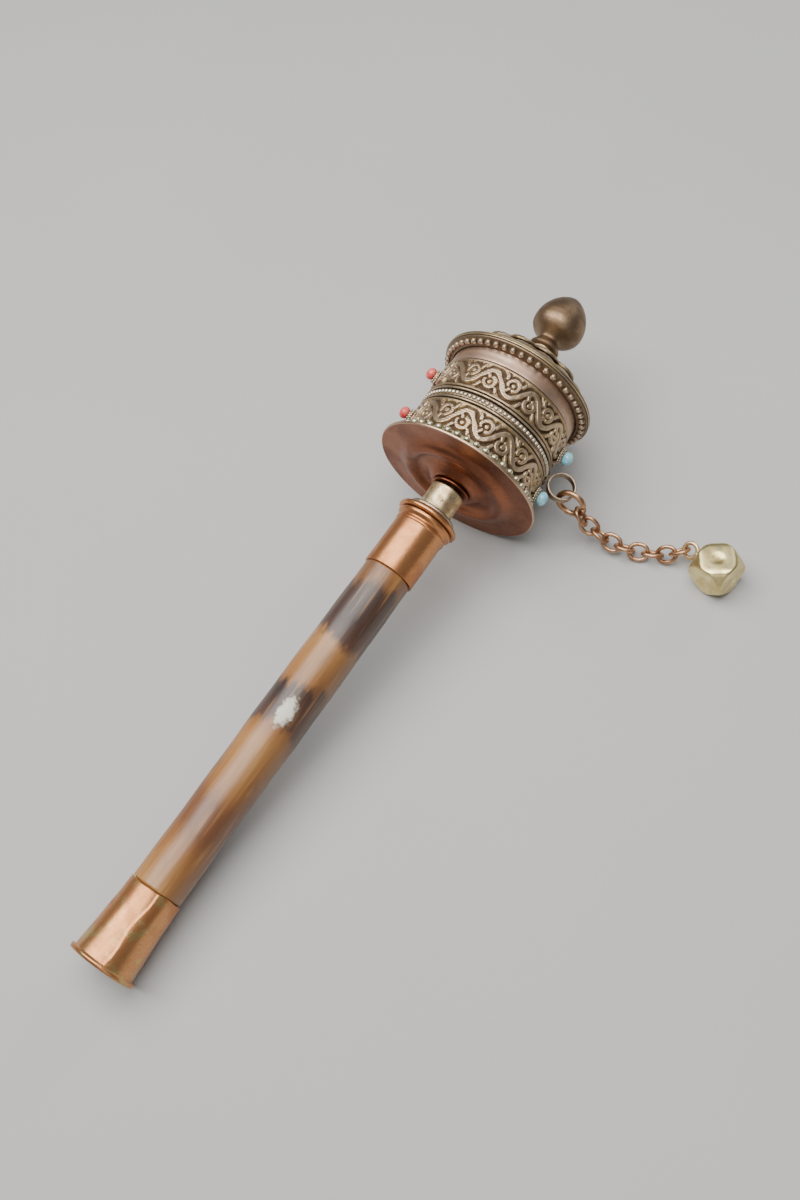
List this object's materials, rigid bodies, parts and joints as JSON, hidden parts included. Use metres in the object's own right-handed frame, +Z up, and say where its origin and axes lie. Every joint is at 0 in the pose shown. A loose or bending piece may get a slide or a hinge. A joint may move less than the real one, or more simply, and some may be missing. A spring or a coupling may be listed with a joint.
{
  "type": "prayer wheel",
  "caption": "Hand-held prayer wheel with a horn grip, copper ferrules, an embossed drum that spins on its axle, a lid and finial, and a chained brass weight.",
  "frame": {"origin": "on the table, under the middle of the object's box", "axes": "+X along the handle towards the finial, +Z up from the table it lies on, chain on the -Y side"},
  "size_m": [0.2336, 0.105, 0.0518],
  "materials": {
    "copper": "polished copper sheet, worn and stained",
    "red_copper": "red-brown patinated copper sheet",
    "chain_copper": "tumbled copper wire",
    "bronze": "cast and chased, dark ground with rubbed high points",
    "pale_brass": "old pale brass",
    "weight_brass": "bright cast brass",
    "finial_bronze": "satin brown bronze",
    "steel": "drawn rod",
    "horn": "polished horn, amber with smoky dark bands",
    "coral": "polished bead",
    "turquoise": "polished bead",
    "paper": "rolled blank paper",
    "cloth": "plain silk wrap"
  },
  "bodies": {
    "handle": {"end_plate": "pale_brass", "lower_ferrule": "copper", "grip": "horn", "upper_ferrule": "copper", "upper_flange": "copper", "rope_ring": "pale_brass", "bushing": "pale_brass", "axle_rod": "steel", "upper_washer": "pale_brass", "finial": "finial_bronze"},
    "drum": {"lower_washer": "bronze", "base_disc": "red_copper", "foot_beads": "pale_brass", "drum_shell": "copper", "lower_relief_band": "bronze", "lower_wire": "bronze", "bead_band": "pale_brass", "upper_wire": "bronze", "upper_relief_band": "bronze", "plain_band": "copper", "core_tube": "pale_brass", "scroll": "paper", "scroll_wrap": "cloth", "lid": "bronze", "lid_beads": "pale_brass", "petal_collar": "bronze", "neck": "pale_brass", "coral_setting_lower": "pale_brass", "coral_setting_upper": "pale_brass", "turquoise_setting_lower": "pale_brass", "turquoise_setting_upper": "pale_brass", "coral_lower": "coral", "coral_upper": "coral", "turquoise_lower": "turquoise", "turquoise_upper": "turquoise", "chain_ring_pad": "pale_brass", "chain_ring": "bronze"},
    "jump_ring": {"jump_ring": "chain_copper"},
    "link_1": {"link_1": "chain_copper"},
    "link_2": {"link_2": "chain_copper"},
    "link_3": {"link_3": "chain_copper"},
    "link_4": {"link_4": "chain_copper"},
    "link_5": {"link_5": "chain_copper"},
    "link_6": {"link_6": "chain_copper"},
    "link_7": {"link_7": "chain_copper"},
    "link_8": {"link_8": "chain_copper"},
    "link_9": {"link_9": "chain_copper"},
    "weight": {"weight_eye": "pale_brass", "weight": "weight_brass"}
  },
  "joints": [
    {"name": "drum_spin", "type": "hinge", "parent": "handle", "child": "drum", "pos_m": [0.04578, 0.02629, 0.02514], "axis": [0.9957, 0.0592, 0.0715], "continuous": true},
    {"name": "jump_ring_swing", "type": "hinge", "parent": "drum", "child": "jump_ring", "pos_m": [0.06204, -0.00076, 0.01543], "axis": [0.9028, -0.414, -0.1168], "range_deg": [-30, 30]},
    {"name": "link_1_swing", "type": "hinge", "parent": "jump_ring", "child": "link_1", "pos_m": [0.06184, -0.00454, 0.01122], "axis": [0.1696, -0.7368, 0.6545], "range_deg": [-20, 20]},
    {"name": "link_2_swing", "type": "hinge", "parent": "link_1", "child": "link_2", "pos_m": [0.06192, -0.00669, 0.00802], "axis": [-0.851, -0.4445, 0.2796], "range_deg": [-20, 20]},
    {"name": "link_3_swing", "type": "hinge", "parent": "link_2", "child": "link_3", "pos_m": [0.06192, -0.01009, 0.00573], "axis": [-0.6157, 0.4407, -0.6533], "range_deg": [-20, 20]},
    {"name": "link_4_swing", "type": "hinge", "parent": "link_3", "child": "link_4", "pos_m": [0.06198, -0.01384, 0.00406], "axis": [0.7383, 0.2851, -0.6113], "range_deg": [-20, 20]},
    {"name": "link_5_swing", "type": "hinge", "parent": "link_4", "child": "link_5", "pos_m": [0.0624, -0.01785, 0.00335], "axis": [0.7039, -0.0516, 0.7084], "range_deg": [-20, 20]},
    {"name": "link_6_swing", "type": "hinge", "parent": "link_5", "child": "link_6", "pos_m": [0.06352, -0.02174, 0.00264], "axis": [-0.6459, -0.3129, 0.6964], "range_deg": [-20, 20]},
    {"name": "link_7_swing", "type": "hinge", "parent": "link_6", "child": "link_7", "pos_m": [0.06498, -0.02556, 0.00241], "axis": [-0.6742, -0.2167, -0.706], "range_deg": [-20, 20]},
    {"name": "link_8_swing", "type": "hinge", "parent": "link_7", "child": "link_8", "pos_m": [0.06652, -0.02936, 0.00241], "axis": [0.6556, 0.2649, -0.7071], "range_deg": [-20, 20]},
    {"name": "link_9_swing", "type": "hinge", "parent": "link_8", "child": "link_9", "pos_m": [0.06826, -0.03263, 0.00416], "axis": [0.4831, 0.5975, 0.64], "range_deg": [-20, 20]},
    {"name": "weight_swing", "type": "hinge", "parent": "link_9", "child": "weight", "pos_m": [0.07012, -0.03585, 0.0059], "axis": [-0.7627, -0.0931, 0.64], "range_deg": [-30, 30]}
  ]
}
